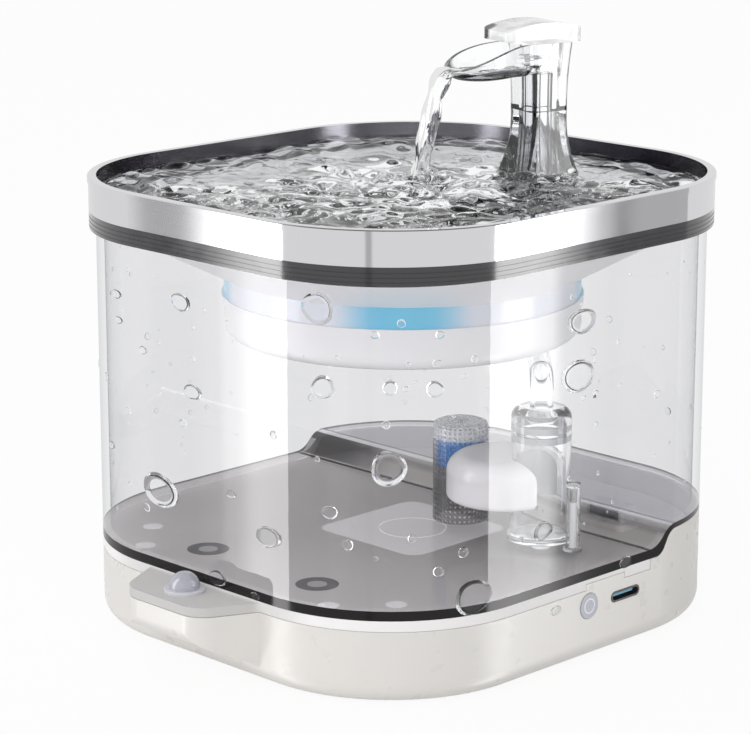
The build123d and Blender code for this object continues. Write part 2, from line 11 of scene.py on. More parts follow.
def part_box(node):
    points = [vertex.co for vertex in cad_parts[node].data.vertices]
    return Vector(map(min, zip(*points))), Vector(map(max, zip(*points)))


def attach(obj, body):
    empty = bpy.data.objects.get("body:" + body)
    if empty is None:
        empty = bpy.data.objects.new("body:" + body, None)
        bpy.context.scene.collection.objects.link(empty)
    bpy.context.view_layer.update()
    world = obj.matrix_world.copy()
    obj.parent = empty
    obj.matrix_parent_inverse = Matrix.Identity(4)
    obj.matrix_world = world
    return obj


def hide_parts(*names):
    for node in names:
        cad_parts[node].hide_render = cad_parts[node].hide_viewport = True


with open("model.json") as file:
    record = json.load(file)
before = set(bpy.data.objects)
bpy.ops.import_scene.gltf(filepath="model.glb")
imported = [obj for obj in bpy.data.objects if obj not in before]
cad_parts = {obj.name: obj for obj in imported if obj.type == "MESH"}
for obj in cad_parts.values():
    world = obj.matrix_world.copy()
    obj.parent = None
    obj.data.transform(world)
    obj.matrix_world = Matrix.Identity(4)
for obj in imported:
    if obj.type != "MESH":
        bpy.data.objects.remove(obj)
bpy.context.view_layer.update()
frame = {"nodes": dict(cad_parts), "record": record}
nodes = frame["nodes"]

MM = 0.001

# ---- Places, most of them taken from the frame ----
wall_low, wall_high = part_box("tank_wall")
TANK_Y = (wall_low.y + wall_high.y) / 2
HALF_X, HALF_Y = wall_high.x, wall_high.y - TANK_Y
CORNER = 59.25 * MM                                  # radius of the tank's plan corners
faucet_low, faucet_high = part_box("faucet_tube")
FAUCET = Vector(((faucet_low.x + faucet_high.x) / 2, (faucet_low.y + faucet_high.y) / 2, 0))
FAUCET_TURN = math.radians(-105)
WATER_Z = 162.0 * MM
FLOOR_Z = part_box("level_sleeve")[0].z
RAISED_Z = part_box("tank_floor")[1].z
STEP_FOOT_Y, STEP_RIDGE_Y = 36.5 * MM, 44.5 * MM     # the step across the tank floor, from its axis
SLOPE_DARK_X, SLOPE_PALE_X = -76 * MM, -34 * MM      # the step's slope has painted shade at its left end
NOSE_START_Y, NOSE_Y = -88 * MM, -94 * MM            # where the deck's nose leaves the tank's outline, and its painted shade sets in
FLOOR_LIFT = 0.08 * MM                               # between the tank floor's underside and the deck
LANDING = np.array((2.8, 5.2)) * MM                  # where the stream meets the water, from the tank's axis
# Where the faucet cap has a painted dark reflection
CAP_CORNER = FAUCET + Matrix.Rotation(FAUCET_TURN, 3, "Z") @ Vector((18.5, -8.0, 215.5)) * MM

# Heights between which the foam and the strainer round it change tone
FOAM_GREY_TO_BLUE = 55.5 * MM, 57.5 * MM
FOAM_BLUE_TO_PALE = 66.5 * MM, 67.5 * MM
CAGE_DULL_TO_CLEAR = 48 * MM, 66 * MM
CAGE_CLEAR_TO_PALE = 65 * MM, 69 * MM

# ---- Camera ----
CAMERA_AT = Vector((724.34, -725.89, 348.66)) * MM
CAMERA_BACK = Vector((0.68795, -0.68464, 0.24080))
FOCAL_PIXELS = 2838.0
PHOTO_WIDTH, PHOTO_HEIGHT = 751, 734
SENSOR = 36.0
PIXELS_PER_METRE = 2790                              # at the tank's near faces

# ---- Light ----
WORLD_LIGHT = 0.84


def put(name, data):
    """A new object in the scene."""
    made = bpy.data.objects.new(name, data)
    bpy.context.scene.collection.objects.link(made)
    return made


def make_camera():
    """The viewpoint, worked out from the tank's outline in the photograph."""
    data = bpy.data.cameras.new("camera")
    data.sensor_width = SENSOR
    data.lens = SENSOR * FOCAL_PIXELS / PHOTO_WIDTH
    data.clip_end = 20
    camera = put("camera", data)
    camera.location = CAMERA_AT
    camera.rotation_mode = "QUATERNION"
    camera.rotation_quaternion = (-CAMERA_BACK).to_track_quat("-Z", "Y")
    bpy.context.scene.camera = camera


# ---- Node helpers ----
class Shader:
    """The node tree of a new material, or of another owner, with short ways to add and join nodes."""

    def __init__(self, name, owner=None, output="OutputMaterial"):
        self.owner = owner or bpy.data.materials.new(name)
        self.owner.use_nodes = True
        self.tree = self.owner.node_tree
        self.tree.nodes.clear()
        self.out = self.add(output)

    def add(self, kind, **settings):
        node = self.tree.nodes.new("ShaderNode" + kind)
        for name, value in settings.items():
            setattr(node, name, value)
        return node

    def feed(self, node, **inputs):
        """Sets sockets to values, or links them. A socket goes by its name, or by i and its number."""
        for name, value in inputs.items():
            numbered = name[0] == "i" and name[1:].isdigit()
            socket = node.inputs[int(name[1:]) if numbered else name.replace("_", " ")]
            if isinstance(value, bpy.types.NodeSocket):
                self.tree.links.new(value, socket)
            else:
                socket.default_value = value
        return node

    def math(self, operation, a, b=0.0):
        return self.feed(self.add("Math", operation=operation), i0=a, i1=b).outputs[0]

    def rest(self, share):
        """What is left of 1."""
        return self.math("SUBTRACT", 1.0, share)

    def vector(self, operation, a, b=(0, 0, 0)):
        return self.feed(self.add("VectorMath", operation=operation), i0=a, i1=b).outputs[0]

    def dot(self, a, b):
        node = self.add("VectorMath", operation="DOT_PRODUCT")
        return self.feed(node, i0=a, i1=b).outputs["Value"]

    def split(self, vector):
        """The X, Y and Z of a vector."""
        return self.feed(self.add("SeparateXYZ"), i0=vector).outputs

    def place(self):
        """The point in the model's frame, in metres."""
        return self.add("TexCoord").outputs["Object"]

    def across(self, axis):
        """One coordinate of the point, in metres."""
        return self.split(self.place())[axis]

    def facing(self):
        """0 where the surface faces the eye, 1 where it is seen edge-on."""
        return self.feed(self.add("LayerWeight"), Blend=0.5).outputs["Facing"]

    def noise(self, scale, detail=3.0, vector=None):
        node = self.add("TexNoise")
        self.feed(node, Scale=scale, Detail=detail, Vector=vector or self.place())
        return node.outputs["Fac"]

    def ramp(self, value, low, high, start=0.0, end=1.0):
        """A smooth change from start to end while value goes from low to high."""
        node = self.add("MapRange", interpolation_type="SMOOTHSTEP")
        self.feed(node, Value=value, From_Min=low, From_Max=high, To_Min=start, To_Max=end)
        return node.outputs["Result"]

    def strip(self, value, start, end, soft):
        """1 between start and end, with soft sides."""
        rise = self.ramp(value, start, start + soft)
        return self.math("SUBTRACT", rise, self.ramp(value, end - soft, end))

    def blend(self, share, a, b):
        return self.feed(self.add("Mix", data_type="RGBA"), i0=share, i6=a, i7=b).outputs[2]

    def bump(self, height, distance):
        return self.feed(self.add("Bump"), Height=height, Distance=distance).outputs["Normal"]

    def principled(self, **inputs):
        return self.feed(self.add("BsdfPrincipled"), **inputs)

    def transparent(self, tint):
        return self.feed(self.add("BsdfTransparent"), Color=tint).outputs[0]

    def mirror(self, roughness):
        return self.feed(self.add("BsdfGlossy"), Color=(1, 1, 1, 1), Roughness=roughness).outputs[0]

    def mix(self, share, a, b):
        return self.feed(self.add("MixShader"), i0=share, i1=a, i2=b).outputs[0]

    def finish(self, surface):
        self.tree.links.new(surface, self.out.inputs["Surface"])
        return self.owner


def rgb(r, g, b):
    """Scene-linear colour from the 0-255 display value."""
    def linear(c):
        c = c / 255
        return c / 12.92 if c <= 0.04045 else ((c + 0.055) / 1.055) ** 2.4
    return (linear(r), linear(g), linear(b), 1.0)


# ---- Materials ----
GRAIN = 2600    # scale of a mould's spark-eroded grain


def plastic(name, colour, roughness=0.32, relief=0.012, shift=0.03, coat=0.0, glow=0.0):
    """Moulded plastic: faint cloudiness in the colour, a fine grain with its relief in mm, uneven gloss, and
    with glow a painted light given off in its own colour.
    """
    s = Shader(name)
    darker = tuple(c * (1 - shift) for c in colour[:3]) + (1,)
    tone = s.blend(s.noise(35, 4), darker, colour)
    gloss = s.ramp(s.noise(140, 5), 0.3, 0.7, roughness - 0.05, roughness + 0.05)
    normal = s.bump(s.noise(GRAIN, 2), relief * MM)
    bsdf = s.principled(Base_Color=tone, Roughness=gloss, Normal=normal)
    # glow: emission in the plastic's own colour, painted light
    s.feed(bsdf, Coat_Weight=coat, Coat_Roughness=0.1, Emission_Color=colour, Emission_Strength=glow)
    return s.finish(bsdf.outputs[0])


def deck(name):
    """White deck with little gloss; its nose, outside the tank, is a shade deeper: painted shade in its
    colour.
    """
    s = Shader(name)
    # Painted shade: the deck darkens past where its nose leaves the tank.
    outside = s.ramp(s.across("Y"), NOSE_START_Y, NOSE_Y)
    tone = s.blend(outside, rgb(244, 242, 242), rgb(203, 201, 200))
    tone = s.blend(s.math("MULTIPLY", s.noise(35, 4), 0.06), tone, (0.4, 0.4, 0.4, 1))
    normal = s.bump(s.noise(GRAIN, 2), 0.012 * MM)
    bsdf = s.principled(Base_Color=tone, Roughness=0.5, Specular_IOR_Level=0.04, Normal=normal)
    return s.finish(bsdf.outputs[0])


def rubber(name, colour):
    """Matt rubber or felt, a little mottled."""
    s = Shader(name)
    lighter = tuple(min(1, c * 1.3) for c in colour[:3]) + (1,)
    tone = s.blend(s.noise(300, 4), colour, lighter)
    normal = s.bump(s.noise(1800, 3), 0.03 * MM)
    bsdf = s.principled(Base_Color=tone, Roughness=0.7, Normal=normal)
    return s.finish(bsdf.outputs[0])


def metal(name, colour, roughness=0.2):
    """Drawn metal with fine lines round it."""
    s = Shader(name)
    streak = s.add("Mapping")
    s.feed(streak, Vector=s.place(), Scale=(1, 1, 14))
    lines = s.noise(500, 3, vector=streak.outputs[0])
    gloss = s.ramp(lines, 0.3, 0.7, roughness * 0.8, roughness * 1.25)
    normal = s.bump(lines, 0.004 * MM)
    bsdf = s.principled(Base_Color=colour, Metallic=1.0, Roughness=gloss, Normal=normal)
    return s.finish(bsdf.outputs[0])


def lamp_through(s, surface, tint=(1, 1, 1, 1)):
    """Lets lamps and soft light reach what a clear piece shuts in."""
    path = s.add("LightPath")
    open_ray = s.math("MAXIMUM", path.outputs["Is Shadow Ray"], path.outputs["Is Diffuse Ray"])
    return s.mix(open_ray, surface, s.transparent(tint))


def clear(name, ior=1.47, tint=(0.985, 0.99, 0.995, 1), rim=None):
    """Thick clear moulding that bends light, and may darken where it is seen edge-on."""
    s = Shader(name)
    colour = s.blend(s.ramp(s.facing(), 0.38, 0.72), tint, rim) if rim else tint
    bsdf = s.principled(Base_Color=colour, Transmission_Weight=1.0, IOR=ior, Roughness=0.0)
    return s.finish(lamp_through(s, bsdf.outputs[0], tint))


def milky(name):
    """Clear moulding mixed with white that glows faintly, a painted light that makes it look white from most
    sides, with a painted dark reflection at one corner.
    """
    s = Shader(name)
    away = s.add("VectorMath", operation="DISTANCE")
    s.feed(away, i0=s.place(), i1=CAP_CORNER)
    # Painted dark reflection round CAP_CORNER.
    dark = s.ramp(away.outputs["Value"], 5.5 * MM, 3.5 * MM)
    colour = s.blend(s.ramp(s.facing(), 0.5, 0.9), (0.98, 0.98, 0.99, 1), (0.06, 0.06, 0.07, 1))
    colour = s.blend(dark, colour, (0.01, 0.01, 0.012, 1))
    cloud = s.math("MULTIPLY", s.ramp(s.noise(90, 3), 0.35, 0.65, 0.35, 0.6), s.rest(dark))
    glass = s.principled(Base_Color=colour, Transmission_Weight=1.0, IOR=1.49, Roughness=0.0)
    # White with its own faint glow: painted light.
    white = s.principled(Base_Color=rgb(252, 252, 253), Roughness=0.1)
    s.feed(white, Emission_Color=(1, 1, 1, 1), Emission_Strength=0.22)
    return s.finish(s.mix(cloud, glass.outputs[0], white.outputs[0]))


def frosted(name, share):
    """Thin clear plastic with a white bloom: share of it is white, the rest is looked through."""
    s = Shader(name)
    white = s.principled(Base_Color=rgb(246, 244, 248), Roughness=0.2)
    tint = s.blend(s.math("POWER", s.facing(), 5.0), (0.985, 0.985, 0.99, 1), (0.4, 0.4, 0.43, 1))
    return s.finish(lamp_through(s, s.mix(share, s.transparent(tint), white.outputs[0])))


def bore(name):
    """Thin clear tube inside another clear piece: its sides show as dark lines."""
    s = Shader(name)
    tint = s.blend(s.ramp(s.facing(), 0.22, 0.42), (0.97, 0.97, 0.98, 1), (0.02, 0.02, 0.03, 1))
    return s.finish(lamp_through(s, s.transparent(tint)))


def pane(name, tint, edge):
    """Thin clear wall: the outer face mirrors the studio, and the wall greys where it is seen edge-on."""
    s = Shader(name)
    through = s.transparent(s.blend(s.math("POWER", s.facing(), 7.0), tint, edge))
    outer = s.rest(s.add("NewGeometry").outputs["Backfacing"])
    share = s.math("MULTIPLY", s.feed(s.add("Fresnel"), IOR=1.5).outputs[0], outer)
    return s.finish(lamp_through(s, s.mix(share, through, s.mirror(0.0))))


def step_tone(s, depth, raised, on_step, ridge):
    """What the smoked floor lets through: its flat parts, the step's slope and the lines along the step,
    with painted shade and a painted highlight.
    """
    cloud = s.ramp(s.noise(9, 2), 0.3, 0.7, 0.95, 1.05)
    # Painted light: the raised flat part lets more through, making up for the dim hollow under it.
    flat = s.blend(raised, (0.77, 0.745, 0.755, 1), (0.96, 0.955, 0.98, 1))
    # Painted shade: the slope is dark at its left end and pale towards the right.
    painted_slope_light = s.ramp(s.across("X"), SLOPE_DARK_X, SLOPE_PALE_X)
    slope = s.blend(painted_slope_light, (0.17, 0.165, 0.18, 1), (0.88, 0.85, 0.83, 1))
    # Painted shade: a dark band just under the ridge.
    shade_under_ridge = s.strip(depth, STEP_RIDGE_Y - 4.5 * MM, STEP_RIDGE_Y, 3.0 * MM)
    slope = s.blend(s.math("MULTIPLY", shade_under_ridge, 0.6), slope, (0.14, 0.14, 0.16, 1))
    # Painted shade: a black line along the step's foot, and a dark one just beyond the ridge.
    foot = s.strip(depth, STEP_FOOT_Y - 4.6 * MM, STEP_FOOT_Y - 2.0 * MM, 0.6 * MM)
    crease_shade_line = s.strip(depth, STEP_RIDGE_Y + 2.6 * MM, STEP_RIDGE_Y + 3.6 * MM, 0.4 * MM)
    tone = s.blend(on_step, flat, slope)
    tone = s.blend(foot, tone, (0.012, 0.011, 0.012, 1))
    tone = s.blend(s.math("MULTIPLY", crease_shade_line, 0.9), tone, (0.04, 0.04, 0.05, 1))
    # Painted highlight: a near-white line along the ridge.
    tone = s.blend(ridge, tone, (0.98, 0.98, 1.0, 1))
    return s.feed(s.add("VectorMath", operation="SCALE"), i0=tone, Scale=cloud).outputs[0]


def cut_edge(s, depth, inside):
    """The smoked floor's cut edge: near black from outside, and grey with a dark top line from within."""
    edge = s.principled(Base_Color=rgb(16, 13, 14), Roughness=0.12, IOR=1.4)
    top = s.ramp(depth, STEP_FOOT_Y, STEP_RIDGE_Y, FLOOR_Z, RAISED_Z)
    line = s.ramp(s.math("SUBTRACT", s.across("Z"), top), -0.9 * MM, -0.5 * MM)
    far = s.transparent(s.blend(line, (0.60, 0.585, 0.59, 1), (0.22, 0.21, 0.22, 1)))
    return s.mix(inside, edge.outputs[0], far)


def smoked(name):
    """Smoked clear plastic: tinted where it is looked through, near black along its cut edges.

    The step across it bends light away: its foot gets a black line of painted shade and its ridge a bright
    line of painted highlight, on top of a stronger reflection there.
    """
    s = Shader(name)
    geometry = s.add("NewGeometry")
    inside = geometry.outputs["Backfacing"]
    up = s.math("ABSOLUTE", s.split(geometry.outputs["Normal"])["Z"])
    raised = s.ramp(s.across("Z"), FLOOR_Z + 1.5 * MM, RAISED_Z - 0.5 * MM)
    depth = s.math("SUBTRACT", s.across("Y"), TANK_Y)
    on_step = s.strip(depth, STEP_FOOT_Y - 2.0 * MM, STEP_RIDGE_Y + 1.0 * MM, 0.8 * MM)
    ridge = s.strip(depth, STEP_RIDGE_Y, STEP_RIDGE_Y + 2.6 * MM, 0.7 * MM)
    tone = step_tone(s, depth, raised, on_step, ridge)
    through = s.transparent(s.blend(inside, tone, (1, 1, 1, 1)))
    haze = s.feed(s.add("BsdfDiffuse"), Color=rgb(226, 226, 236)).outputs[0]
    hazy = s.math("MULTIPLY", s.math("MULTIPLY", raised, s.rest(on_step)), 0.3)
    share = s.math("MULTIPLY", s.feed(s.add("Fresnel"), IOR=1.45).outputs[0], 0.5)
    share = s.math("ADD", share, s.math("MULTIPLY", ridge, 0.45))
    share = s.math("MULTIPLY", share, s.rest(inside))
    sheet = s.mix(share, s.mix(hazy, through, haze), s.mirror(0.05))
    cut = s.ramp(up, 0.25, 0.12)     # 1 on upright faces
    return s.finish(lamp_through(s, s.mix(cut, sheet, cut_edge(s, depth, inside))))


def steel(name):
    """Polished tray steel: bright outside; inside, painted shade makes it near black, with a painted
    reflection that makes the wall paler towards -X and +Y.
    """
    s = Shader(name)
    from_axis = s.vector("SUBTRACT", s.vector("MULTIPLY", s.place(), (1, 1, 0)), (0, TANK_Y, 0))
    side = s.vector("NORMALIZE", from_axis)
    inner = s.ramp(s.dot(s.add("NewGeometry").outputs["Normal"], side), -0.35, -0.6)
    far = s.dot(side, (-0.85, 0.53, 0))
    # Painted shade on the inside faces, and a paler painted reflection on the far wall.
    dark = s.blend(s.ramp(far, 0.35, 0.95), (0.035, 0.034, 0.045, 1), (0.22, 0.216, 0.24, 1))
    tone = s.blend(inner, (0.80, 0.795, 0.82, 1), dark)
    gloss = s.math("ADD", s.ramp(inner, 0.0, 1.0, 0.05, 0.2), s.ramp(s.noise(60, 4), 0.3, 0.7, 0.0, 0.02))
    bsdf = s.principled(Base_Color=tone, Metallic=1.0, Roughness=gloss)
    return s.finish(bsdf.outputs[0])


def blue_band(name):
    """Blue film behind clear plastic: strongest towards each corner of the tank, and painted pale between, a
    painted reflection on the flat sides.
    """
    s = Shader(name)
    turn = s.math("ARCTAN2", s.math("SUBTRACT", s.across("Y"), TANK_Y), s.across("X"))
    corner = s.math("COSINE", s.math("MULTIPLY", s.math("ADD", turn, math.radians(45)), 4.0))
    blue = s.blend(s.noise(20, 2), rgb(128, 220, 238), rgb(110, 190, 240))
    # Painted reflection: the flat sides between the corners turn pale.
    tone = s.blend(s.ramp(corner, -0.1, 0.95), rgb(232, 234, 244), blue)
    bsdf = s.principled(Base_Color=tone, Roughness=0.25, Coat_Weight=0.3)
    return s.finish(bsdf.outputs[0])


def foam(name):
    """Blue filter foam between a pale top and a grey foot, painted shade standing in for what the strainer
    round it does to light.
    """
    s = Shader(name)
    cells = s.feed(s.add("TexVoronoi"), Scale=900, Vector=s.place()).outputs["Distance"]
    tone = s.blend(cells, rgb(80, 160, 230), rgb(28, 100, 195))
    # Painted shade: grey below the blue.
    tone = s.blend(s.ramp(s.across("Z"), *FOAM_GREY_TO_BLUE), rgb(120, 118, 128), tone)
    tone = s.blend(s.ramp(s.across("Z"), *FOAM_BLUE_TO_PALE), tone, rgb(222, 224, 230))
    bsdf = s.principled(Base_Color=tone, Roughness=0.9, Normal=s.bump(cells, 0.5 * MM))
    return s.finish(bsdf.outputs[0])


def mesh_clear(name):
    """Clear strainer wall: duller towards the foot and pale at the top."""
    s = Shader(name)
    clear_with_height = s.ramp(s.across("Z"), *CAGE_DULL_TO_CLEAR)
    tint = s.blend(clear_with_height, (0.42, 0.42, 0.44, 1), (0.93, 0.93, 0.95, 1))
    bsdf = s.principled(Base_Color=tint, Transmission_Weight=1.0, IOR=1.47, Roughness=0.03)
    white = s.principled(Base_Color=rgb(240, 241, 246), Roughness=0.25)
    pale = s.ramp(s.across("Z"), *CAGE_CLEAR_TO_PALE, 0.0, 0.4)
    return s.finish(lamp_through(s, s.mix(pale, bsdf.outputs[0], white.outputs[0])))


# One material for each slot of the record
materials = {
    "base_white": plastic("base_white", rgb(226, 223, 219)),
    "deck_white": deck("deck_white"),
    "foot_rubber": rubber("foot_rubber", rgb(40, 40, 42)),
    "screw_steel": metal("screw_steel", (0.6, 0.6, 0.62, 1)),
    "ring_grey": plastic("ring_grey", rgb(86, 86, 92), 0.4),
    "pin_pale": plastic("pin_pale", rgb(205, 205, 210), 0.4),
    # The caps and covers glow a little: painted light that brightens them.
    "cap_pale": plastic("cap_pale", rgb(250, 250, 252), 0.4, glow=0.3),
    "cover_pale": plastic("cover_pale", rgb(250, 250, 252), 0.4, glow=0.3),
    "ferrite": rubber("ferrite", rgb(55, 52, 52)),
    "copper": metal("copper", (0.72, 0.38, 0.2, 1), 0.3),
    "dock_white": plastic("dock_white", rgb(238, 236, 240), 0.3),
    "dock_dark": plastic("dock_dark", rgb(40, 38, 50), 0.15),
    "cell_wrap": plastic("cell_wrap", rgb(60, 120, 170), 0.3),
    "board_green": plastic("board_green", rgb(30, 95, 60), 0.35),
    "chip_black": plastic("chip_black", rgb(35, 35, 36), 0.5),
    "button_grey": plastic("button_grey", rgb(178, 179, 188), 0.3),
    "button_mark": plastic("button_mark", rgb(225, 228, 236), 0.3),
    "switch_black": plastic("switch_black", rgb(40, 40, 42), 0.5),
    "port_dark": plastic("port_dark", rgb(45, 44, 46), 0.3),
    "port_tongue": plastic("port_tongue", rgb(110, 175, 205), 0.3),
    "port_steel": metal("port_steel", (0.7, 0.7, 0.72, 1)),
    "sensor_grey": plastic("sensor_grey", rgb(208, 208, 214), 0.3),
    "sensor_lens": plastic("sensor_lens", rgb(176, 177, 188), 0.3, coat=0.4),
    "sensor_can": metal("sensor_can", (0.6, 0.6, 0.6, 1)),
    "smoked_plastic": smoked("smoked_plastic"),
    "tank_clear": pane("tank_clear", (0.945, 0.945, 0.949, 1), (0.62, 0.64, 0.66, 1)),
    "pump_white": plastic("pump_white", rgb(240, 238, 242), 0.25),
    "inner_clear": clear("inner_clear"),
    "probe_white": plastic("probe_white", rgb(245, 245, 246), 0.4),
    "probe_metal": metal("probe_metal", (0.5, 0.5, 0.5, 1)),
    "cup_rubber": rubber("cup_rubber", rgb(205, 207, 210)),
    "rotor_white": plastic("rotor_white", rgb(235, 235, 235)),
    "magnet_black": rubber("magnet_black", rgb(45, 45, 46)),
    "shaft_steel": metal("shaft_steel", (0.7, 0.7, 0.7, 1)),
    "foam_blue": foam("foam_blue"),
    "seal_grey": rubber("seal_grey", rgb(150, 150, 155)),
    "hose_clear": clear("hose_clear", 1.4),
    "seat_clear": plastic("seat_clear", rgb(36, 34, 39), 0.12, relief=0.0, coat=1.0),
    "filter_white": plastic("filter_white", rgb(244, 243, 246), 0.35, relief=0.001, shift=0.01),
    "collar_blue": blue_band("collar_blue"),
    "pad_white": rubber("pad_white", rgb(238, 240, 242)),
    "tray_steel": steel("tray_steel"),
    "faucet_clear": clear("faucet_clear", 1.49, rim=(0.03, 0.03, 0.035, 1)),
}

# Nodes whose look departs from the rest of their slot
own_materials = {
    "pump_housing": frosted("pump_frosted", 0.72),
    "faucet_cap": milky("faucet_cap_clear"),
    "faucet_tube": bore("faucet_bore"),
}


def dress_nodes():
    """Each CAD node takes its own material or the one made for its record slot."""
    for subpart in frame["record"]["subparts"]:
        name = subpart.get("node")
        material = own_materials.get(name) or materials.get(subpart.get("material_slot"))
        if name in nodes and material:
            nodes[name].data.materials.clear()
            nodes[name].data.materials.append(material)


def stand_in(piece, body, node):
    """The piece rides on a body in a CAD node's stead, and the node is hidden."""
    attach(piece, body)
    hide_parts(node)


def floor_sheet():
    """The tank floor with its underside a hair above the deck, so that no light is caught between them."""
    mesh = nodes["tank_floor"].data.copy()
    lowest = min(vertex.co.z for vertex in mesh.vertices)
    for vertex in mesh.vertices:
        if vertex.co.z < lowest + 0.01 * MM:
            vertex.co.z += FLOOR_LIFT
    stand_in(put("smoked_floor", mesh), "tank", "tank_floor")


# ---- Mesh helpers ----
def skin(rings):
    """Points and faces of a closed skin through rings of points, shut at both ends.

    Rings run down while their points run anticlockwise seen from above.
    """
    count = len(rings[0])
    points = np.concatenate([*rings, [rings[0].mean(axis=0)], [rings[-1].mean(axis=0)]])
    first, last = len(points) - 2, len(points) - 1
    faces = []
    for i in range(count):
        j = (i + 1) % count
        faces.append((first, i, j))
        faces.append((last, (len(rings) - 1) * count + j, (len(rings) - 1) * count + i))
        for ring in range(len(rings) - 1):
            upper, lower = ring * count, (ring + 1) * count
            faces.append((upper + i, lower + i, lower + j, upper + j))
    return points, faces


def make_piece(name, skins, material, body):
    """One object from one or more skins, riding on a body."""
    points, faces, start = [], [], 0
    for skin_points, skin_faces in skins:
        points.append(skin_points)
        faces += [tuple(start + i for i in face) for face in skin_faces]
        start += len(skin_points)
    mesh = bpy.data.meshes.new(name)
    mesh.from_pydata(np.concatenate(points).tolist(), [], faces)
    mesh.polygons.foreach_set("use_smooth", np.ones(len(mesh.polygons), dtype=bool))
    mesh.materials.append(material)
    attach(put(name, mesh), body)


def turns(count):
    """Angles evenly round a full turn."""
    return np.linspace(0, 2 * np.pi, count, endpoint=False)


def reach(angle, grow):
    """Distance from the tank's axis to its plan outline, grown by grow, along each angle."""
    half_x, half_y, corner = HALF_X + grow, HALF_Y + grow, CORNER + grow
    c, s = np.abs(np.cos(angle)), np.abs(np.sin(angle))
    straight = np.minimum(half_x / np.maximum(c, 1e-9), half_y / np.maximum(s, 1e-9))
    centre_x, centre_y = half_x - corner, half_y - corner
    along = c * centre_x + s * centre_y
    arc = along + np.sqrt(np.maximum(along**2 - centre_x**2 - centre_y**2 + corner**2, 0))
    in_corner = (straight * c > centre_x) & (straight * s > centre_y)
    return np.where(in_corner, arc, straight)


# ---- Water ----
def ripples(x, y):
    """Height of the running water over its level: crossing waves, and rings round the landing."""
    rng = np.random.default_rng(11)
    x, y = (
        x + 2.6 * MM * np.sin(y / (9 * MM) + 1) + 0.5 * MM * np.sin(x / (5 * MM)),
        y + 2.6 * MM * np.sin(x / (8 * MM) + 2) + 0.5 * MM * np.sin(y / (4.6 * MM)),
    )
    total = np.zeros_like(x)
    # Crossing waves: length and height in mm, and how many
    for length, height, count in ((27, 0.55, 8), (16, 0.40, 14), (10, 0.17, 18), (6, 0.03, 16)):
        for _ in range(count):
            turn, phase = rng.uniform(0, 2 * np.pi, 2)
            wave = 2 * np.pi / (length * rng.uniform(0.75, 1.3) * MM)
            crest = np.sin(wave * (x * np.cos(turn) + y * np.sin(turn)) + phase)
            total += height * MM * math.sqrt(2 / count) * (crest + 0.3 * crest * crest)
    away = np.hypot(x - LANDING[0], y - LANDING[1])
    rough = 0.8 + 0.55 * np.exp(-((away / (34 * MM)) ** 2))
    rings = 0.8 * MM * np.exp(-away / (22 * MM)) * np.cos(2 * np.pi * away / (10.5 * MM))
    return total * rough + rings


def tray_water():
    """The water in the tray: a rippled top over the shape of the pressed pan."""
    angle = turns(640)
    plan = np.stack([np.cos(angle), np.sin(angle)], axis=1)
    top = reach(angle, -1.1 * MM)
    rings = []
    for share in np.linspace(0.004, 1.0, 150):
        flat = plan * (top * share)[:, None]
        calm = min(1.0, (1.02 - share) / 0.07)
        height = WATER_Z + calm * ripples(flat[:, 0], flat[:, 1])
        rings.append(np.column_stack([flat[:, 0], flat[:, 1] + TANK_Y, height]))
    # The pan under the water: growth of the tank's outline, and height, in mm
    pan = ((-1.1, 161.0), (-1.6, 158.5), (-4.0, 156.2), (-11.8, 156.15), (-14.9, 151.2), (-60.0, 151.2))
    for grow, z in pan:
        flat = plan * reach(angle, grow * MM)[:, None]
        rings.append(np.column_stack([flat[:, 0], flat[:, 1] + TANK_Y, np.full(len(angle), z * MM)]))
    make_piece("tray_water", [skin(rings)], clear("water", 1.33, (0.97, 0.98, 0.985, 1)), "tray")


def from_faucet(points):
    """Faucet places, along the spout, across it and up, to the model's frame."""
    turn = Matrix.Rotation(FAUCET_TURN, 3, "Z")
    return np.array([turn @ Vector(p) * MM + FAUCET for p in points])


def stream():
    """Water that fills the spout, runs over its tip and falls into the tray, thinning as it goes."""
    lip, carry, drop = (38.0, 202.9), 12.5, 43.0     # in mm, along the spout and down
    path = [(x, 202.5) for x in (9.0, 14.0, 20.0, 26.0, 31.0, 35.0)] + [lip]
    path += [(39.8 + carry * math.sqrt(t), 203.0 - drop * t) for t in np.linspace(0, 1, 46)[1:] ** 1.3]
    path = np.array(path)
    # Width and depth in mm at numbered points of the path
    width = np.interp(range(len(path)), (0, 2, 4, 6, 9, 20, 45, 52), (8, 14, 17, 14, 11.0, 9.0, 7.6, 8.4))
    depth = np.interp(range(len(path)), (0, 4, 6, 12, 52), (1.8, 2.2, 2.6, 5.0, 6.2))
    run = np.gradient(path, axis=0)
    run /= np.linalg.norm(run, axis=1)[:, None]
    along = np.cumsum(np.r_[0, np.linalg.norm(np.diff(path, axis=0), axis=1)])
    angle = turns(56)
    rings = []
    for (x, z), (run_x, run_z), wide, deep, s in zip(path, run, width, depth, along):
        ruffle = np.ones_like(angle)
        if x > path[5][0]:      # past the spout's floor
            ruffle = 1 + 0.12 * np.sin(2 * angle + 0.30 * s) + 0.09 * np.sin(5 * angle - 0.17 * s + 1)
            ruffle += 0.05 * np.sin(9 * angle + 0.4 * s + 2) + 0.05 * math.sin(0.55 * s)
        side, out = np.cos(angle) * wide / 2 * ruffle, np.sin(angle) * deep / 2 * ruffle
        rings.append(from_faucet(np.column_stack([x - out * run_z, side, z + out * run_x])))
    make_piece("stream", [skin(rings)], clear("falling_water", 1.33), "faucet_head")


